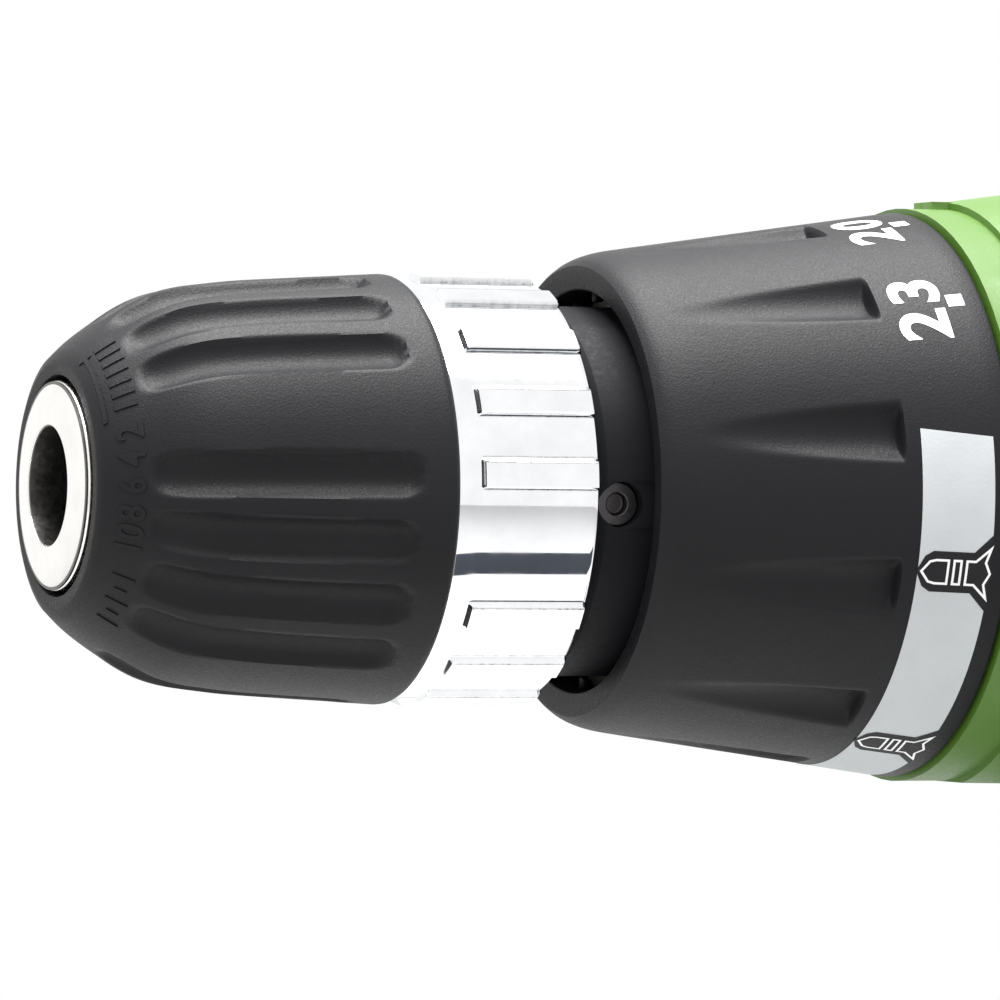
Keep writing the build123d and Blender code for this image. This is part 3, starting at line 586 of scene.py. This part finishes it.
def cut_pockets(bm):
    """Finger pockets: a sloping trough that deepens rearward and ends in an upright wall."""
    for vert in bm.verts:
        s, radius, angle = polar(vert.co)
        if radius < collar_radius(s) - SKIN or not 48.0 < s < 68.0:
            continue
        across = abs(radius * math.radians(angle_to(angle, nearest(POCKET_PLACES, angle))))
        run = (s - POCKET_TIP_S) / (POCKET_WALL_S - POCKET_TIP_S)
        floor = collar_radius(s) - POCKET_DEPTH * run
        cut = floor + across
        if across < POCKET_CUT:
            cut = floor + POCKET_CUT - math.sqrt(POCKET_CUT**2 - across**2)
        cut = soft_min(radius, cut, EDGE_BLEND)
        wall = smooth_step(s, POCKET_WALL_S - 0.12, POCKET_WALL_S + 0.22)
        vert.co = on_tool(s, cut + (radius - cut) * wall, angle)


def make_collar():
    lip_rows = [46.3 + 0.35 * k for k in range(12)]
    pocket_rows = [50.5 + 0.62 * k for k in range(26)]
    wall_rows = [66.46, 66.55, 66.64, 66.73, 66.82, 67.0]
    band_rows = [68.0, 71.0, 74.0, 75.6]
    corners = [(46.55, 17.0, 0.2), (46.3, 18.6, 0.2)]
    corners += [(s, collar_radius(s)) for s in lip_rows + pocket_rows + wall_rows + band_rows]
    corners += [(75.9, collar_radius(75.9) - 0.12), (76.0, 23.9), (76.0, 22.2, 0.2), (56.0, 18.9),
                (48.6, 18.9, 0.2), (48.6, 17.0, 0.2)]
    bm = outline_mesh(corners)
    spin_round(bm, COLLAR_STEPS)
    cut_pockets(bm)
    piece("collar", bm, black_plastic, "collar", ("clutch_collar",), SCULPTED_SHARP)


# ---------------------------------------------------------------- print and raised marks
def wrap(bm, surface, centre_s, centre_angle, lift):
    """Lays flat work (x along the line of print, y its height, z its thickness, in mm) round the tool."""
    for vert in bm.verts:
        s = centre_s - vert.co.y
        radius = surface(s)
        angle = centre_angle + math.degrees(vert.co.x / radius)
        vert.co = on_tool(s, radius + lift + vert.co.z, angle)


def cut_finely(bm, step):
    """Slices flat work across and along so that it can bend."""
    for direction in (Vector((1, 0, 0)), Vector((0, 1, 0))):
        values = [vert.co.dot(direction) for vert in bm.verts]
        count = int((max(values) - min(values)) / step)
        for k in range(1, count + 1):
            geometry = bm.verts[:] + bm.edges[:] + bm.faces[:]
            bmesh.ops.bisect_plane(bm, geom=geometry, plane_co=direction * (min(values) + k * step),
                                   plane_no=direction, dist=1e-6)


def print_text(text, height, weight, spacing=1.0):
    """Dial figures as flat work in mm, centred on the origin."""
    curve = bpy.data.curves.new("figures", "FONT")
    curve.body = text
    curve.align_x = "CENTER"
    curve.align_y = "CENTER"
    curve.size = height
    curve.offset = weight
    curve.space_character = spacing
    curve.resolution_u = 6
    holder = bpy.data.objects.new("figures", curve)
    bpy.context.scene.collection.objects.link(holder)
    bpy.context.view_layer.update()
    graph = bpy.context.evaluated_depsgraph_get()
    mesh = bpy.data.meshes.new_from_object(holder.evaluated_get(graph))
    bm = bmesh.new()
    bm.from_mesh(mesh)
    bpy.data.objects.remove(holder)
    bpy.data.curves.remove(curve)
    bpy.data.meshes.remove(mesh)
    return bm


def plate(*outlines):
    """Flat faces through (x, y) corners in mm."""
    bm = bmesh.new()
    for corners in outlines:
        bm.faces.new([bm.verts.new((x, y, 0)) for x, y in corners])
    return bm


def bar(half_length, half_height):
    """A flat rectangle round the origin."""
    return plate([(-half_length, -half_height), (half_length, -half_height), (half_length, half_height),
                  (-half_length, half_height)])


DIAL = ("23", "20", "17", "14", "11", "8", "5", "2")
DIAL_START, DIAL_STEP = 41.7, 31.3
FIGURE_S, FIGURE_HEIGHT = 70.5, 5.9
MARK_S, MARK_TURN = 73.55, 1.1
PRINT_LIFT = 0.03


def make_dial():
    """The torque figures of the clutch, each with a small mark at its foot."""
    for k, figures in enumerate(DIAL):
        angle = DIAL_START + DIAL_STEP * k
        bm = print_text(figures, FIGURE_HEIGHT, 0.17, 1.16)
        bmesh.ops.scale(bm, vec=(1.1, 1.0, 1.0), verts=bm.verts)
        cut_finely(bm, 0.6)
        wrap(bm, collar_radius, FIGURE_S, angle, PRINT_LIFT)
        piece("dial_" + figures, bm, white_print, "collar")
        bm = bar(0.66, 0.72)
        cut_finely(bm, 0.4)
        wrap(bm, collar_radius, MARK_S, angle + MARK_TURN, PRINT_LIFT)
        piece("dial_mark_" + figures, bm, white_print, "collar")


BAND_S = (68.1, 74.3)
BAND_ANGLES = (12.5, -94.0)


def make_band():
    """The silver band of the drilling positions."""
    middle = sum(BAND_ANGLES) / 2
    half_height = (BAND_S[1] - BAND_S[0]) / 2
    centre_s = sum(BAND_S) / 2
    half_length = math.radians(BAND_ANGLES[0] - BAND_ANGLES[1]) / 2 * collar_radius(centre_s)
    bm = bar(half_length, half_height)
    cut_finely(bm, 0.5)
    wrap(bm, collar_radius, centre_s, middle, PRINT_LIFT)
    piece("dial_band", bm, silver_print, "collar")


SYMBOL_ANGLES = (-16.0, -63.5)
SYMBOL_S = 71.2
OUTLINE_WIDTH = 0.2
BIT_TIP = [(0.0, 2.95), (0.95, 2.2), (1.1, 1.6), (1.1, 0.45), (-1.1, 0.45), (-1.1, 1.6), (-0.95, 2.2)]
BIT_BODY = [(1.1, 0.15), (1.1, -0.65), (-1.1, -0.65), (-1.1, 0.15)]
BIT_HEAD = [(1.1, -0.95), (1.1, -1.75), (2.45, -3.2), (0.95, -2.75), (0.0, -3.2), (-0.95, -2.75),
            (-2.45, -3.2), (-1.1, -1.75), (-1.1, -0.95)]
BIT_GROUND = [(0.0, 3.25), (1.3, 2.6), (1.75, 1.9), (1.75, -1.6), (3.3, -3.12), (-3.3, -3.12),
              (-1.75, -1.6), (-1.75, 1.9), (-1.3, 2.6)]


def make_bit_symbols():
    """A drill bit in outline on a black ground, for the drilling positions of the dial."""
    for k, angle in enumerate(SYMBOL_ANGLES):
        bm = plate(BIT_GROUND)
        cut_finely(bm, 0.5)
        wrap(bm, collar_radius, SYMBOL_S, angle, PRINT_LIFT * 2)
        piece("bit_ground_" + str(k + 1), bm, black_print, "collar")
        bm = plate(BIT_TIP, BIT_BODY, BIT_HEAD)
        bm.normal_update()
        middles = bm.faces[:]
        bmesh.ops.inset_individual(bm, faces=middles, thickness=OUTLINE_WIDTH, use_even_offset=True)
        bmesh.ops.delete(bm, geom=middles, context="FACES_ONLY")
        cut_finely(bm, 0.5)
        wrap(bm, collar_radius, SYMBOL_S, angle, PRINT_LIFT * 3)
        piece("bit_outline_" + str(k + 1), bm, white_print, "collar")


MARK_HEIGHT = 0.14
MARK_ROOT = 0.2
ARROW_S = 1.0
TICK_S = 2.5
SCALE_S = 2.6


def raise_mark(name, bm, centre_s, angle):
    """A raised mark moulded into the sleeve's nose."""
    cut_finely(bm, 0.5)
    grown = bmesh.ops.extrude_face_region(bm, geom=bm.faces[:])
    top = [item for item in grown["geom"] if isinstance(item, bmesh.types.BMVert)]
    bmesh.ops.translate(bm, vec=(0, 0, MARK_HEIGHT + MARK_ROOT), verts=top)
    wrap(bm, sleeve_radius, centre_s, angle, -MARK_ROOT)
    bmesh.ops.recalc_face_normals(bm, faces=bm.faces)
    piece(name, bm, black_plastic, "sleeve")


def make_sleeve_marks():
    """A size scale and a turning arrow round the sleeve's nose."""
    half_arc = math.radians(19) * sleeve_radius(ARROW_S)
    raise_mark("arrow_arc", bar(half_arc, 0.14), ARROW_S, 45.0)
    raise_mark("arrow_head", plate([(0.9, 0.0), (-0.5, -0.45), (-0.5, 0.45)]), ARROW_S, 66.0)
    for k in range(7):
        raise_mark("tick_" + str(k + 1), bar(0.22, 0.8), TICK_S, 31.0 + 5.5 * k)
    for k, figure in enumerate(("10", "8", "6", "4", "2")):
        raise_mark("size_" + figure, print_text(figure, 2.6, 0.05), SCALE_S, -20.0 + 10.0 * k)
    for k in range(5):
        half_height = 0.45 if k % 2 else 0.8
        raise_mark("low_tick_" + str(k + 1), bar(0.16, half_height), SCALE_S, -36.0 - 6.0 * k)


# ---------------------------------------------------------------- collar mouth
DETENTS = 24
DETENT_S = 49.04
DETENT_RADIUS = 16.75
DETENT_SIZE = (1.0, 0.85, 1.3)


def make_detents():
    """The ring of small detent teeth deep in the collar's mouth; each size is round, along and out."""
    for k in range(DETENTS):
        angle = 360 / DETENTS * k + 4.0
        bm = bmesh.new()
        bmesh.ops.create_cube(bm, size=1.0)
        bmesh.ops.scale(bm, vec=DETENT_SIZE, verts=bm.verts)
        bmesh.ops.bevel(bm, geom=bm.edges[:], offset=0.2, affect="EDGES", segments=2, profile=0.5,
                        material=-1)
        for vert in bm.verts:
            lean = math.degrees(vert.co.x / 16.9)
            vert.co = on_tool(DETENT_S + vert.co.y, DETENT_RADIUS + vert.co.z, angle + lean)
        piece("detent_" + str(k + 1), bm, black_plastic, "housing")


# ---------------------------------------------------------------- stage, light and camera
def add_to_scene(made):
    bpy.context.scene.collection.objects.link(made)
    return made


def plain_object(name, bm, look):
    """A stage piece: a bmesh with one material, linked to the scene."""
    mesh = bpy.data.meshes.new(name)
    bm.to_mesh(mesh)
    bm.free()
    mesh.materials.append(look)
    return add_to_scene(bpy.data.objects.new(name, mesh))


FLOOR_RADIUS = 1.35
FLOOR_DROP = 0.0002
FADE_START, FADE_END = 0.2, 0.7


def floor_paint():
    """A pale floor that fades into the white behind it, so that no far edge shows."""
    made, tree, shader = material("floor_white", Base_Color=(0.5, 0.5, 0.5, 1), Roughness=0.6)
    place = add(tree, "ShaderNodeTexCoord")
    away = add(tree, "ShaderNodeVectorMath", operation="LENGTH")
    tree.links.new(place.outputs["Object"], away.inputs[0])
    fade = add(tree, "ShaderNodeMapRange", interpolation_type="SMOOTHSTEP")
    fade.inputs["From Min"].default_value = FADE_START
    fade.inputs["From Max"].default_value = FADE_END
    tree.links.new(away.outputs["Value"], fade.inputs["Value"])
    path = add(tree, "ShaderNodeLightPath")
    share = add(tree, "ShaderNodeMath", operation="MULTIPLY")
    tree.links.new(fade.outputs["Result"], share.inputs[0])
    tree.links.new(path.outputs["Is Camera Ray"], share.inputs[1])
    white = add(tree, "ShaderNodeEmission", Strength=1.0)
    mix = add(tree, "ShaderNodeMixShader")
    tree.links.new(share.outputs[0], mix.inputs[0])
    tree.links.new(shader.outputs[0], mix.inputs[1])
    tree.links.new(white.outputs[0], mix.inputs[2])
    tree.links.new(mix.outputs[0], tree.nodes["Material Output"].inputs["Surface"])
    return made


def studio_card(name, colour, size, place, tilt):
    """A card that only shows in reflections on the tool."""
    bm = bmesh.new()
    bmesh.ops.create_grid(bm, x_segments=1, y_segments=1, size=0.5)
    card = plain_object(name, bm, material(name, Base_Color=colour, Roughness=0.8)[0])
    card.location = place
    card.rotation_euler = (tilt, 0.0, 0.0)
    card.scale = (size[0], size[1], 1.0)
    card.visible_camera = False
    card.visible_shadow = False
    card.visible_diffuse = False


def make_stage():
    """The floor, a dark card that the chrome ring mirrors, and a pale one under the chuck's tray light."""
    bm = bmesh.new()
    bmesh.ops.create_circle(bm, cap_ends=True, radius=FLOOR_RADIUS, segments=96)
    floor = plain_object("floor", bm, floor_paint())
    floor.location = (0, 0, -FLOOR_DROP)
    ring = on_tool(35.0, RING_RADIUS, -20.0)
    away = Vector((-0.379, 0.70, -0.60))
    facing_ring = math.pi / 2 - math.atan2(-away.z, away.y)
    studio_card("flag", (0.012, 0.016, 0.024, 1), (0.24, 0.042), ring + away.normalized() * 0.2, facing_ring)
    under_chuck = Vector((NOSE_X - 0.066, 0.0, AXIS_Z - 0.0865))
    studio_card("tray_card", (0.3, 0.3, 0.3, 1), (0.13, 0.13), under_chuck, 0.0)


def area_light(name, place, aim, size, power):
    lamp = bpy.data.lights.new(name, "AREA")
    lamp.shape = "RECTANGLE"
    lamp.size, lamp.size_y = size
    lamp.energy = power
    holder = add_to_scene(bpy.data.objects.new(name, lamp))
    holder.location = place
    holder.rotation_euler = (Vector(aim) - Vector(place)).to_track_quat("-Z", "Y").to_euler()
    return holder


def make_light():
    """White all round, a soft light above, and a small one below that shows only in the gloss."""
    world = bpy.data.worlds.new("studio")
    bpy.context.scene.world = world
    world.use_nodes = True
    tree = world.node_tree
    tree.nodes.clear()
    seen = add(tree, "ShaderNodeBackground", Color=(1, 1, 1, 1), Strength=1.0)
    lit = add(tree, "ShaderNodeBackground", Color=(1, 1, 1, 1), Strength=1.08)
    path = add(tree, "ShaderNodeLightPath")
    mix = add(tree, "ShaderNodeMixShader")
    out = add(tree, "ShaderNodeOutputWorld")
    tree.links.new(path.outputs["Is Camera Ray"], mix.inputs[0])
    tree.links.new(lit.outputs[0], mix.inputs[1])
    tree.links.new(seen.outputs[0], mix.inputs[2])
    tree.links.new(mix.outputs[0], out.inputs["Surface"])
    chuck = Vector((NOSE_X - 0.04, 0, AXIS_Z))
    area_light("overhead", (NOSE_X - 0.05, 0.0, AXIS_Z + 0.55), chuck, (0.55, 0.5), 11.0)
    collar = Vector((NOSE_X - 0.056, 0.0, AXIS_Z))
    tray = area_light("tray", collar - Vector((0, 0, 0.085)), collar, (0.1, 0.13), 0.033)
    tray.visible_diffuse = False


LENS, SENSOR = 271.45, 36.0
CAMERA_RIGHT = Vector((-0.925146, 0.379511, 0.008742))
CAMERA_UP = Vector((0.009449, 0.0, 0.999955))
CAMERA_PLACE = (NOSE_X + 0.201, 0.587, AXIS_Z - 0.00307)


def make_camera():
    """Level with the spindle, on the tool's left and a little ahead of its nose."""
    data = bpy.data.cameras.new("camera")
    data.sensor_width = SENSOR
    data.lens = LENS
    data.clip_start, data.clip_end = 0.05, 20.0
    camera = add_to_scene(bpy.data.objects.new("camera", data))
    turn = Matrix((CAMERA_RIGHT, CAMERA_UP, CAMERA_RIGHT.cross(CAMERA_UP))).transposed().to_4x4()
    camera.matrix_world = Matrix.Translation(CAMERA_PLACE) @ turn
    bpy.context.scene.camera = camera


bpy.context.scene.view_settings.view_transform = "Standard"
paint_nodes()
make_sleeve()
make_rear_ring()
make_nose()
make_collar()
make_dial()
make_band()
make_bit_symbols()
make_sleeve_marks()
make_detents()
soften_casing()
make_stage()
make_light()
make_camera()
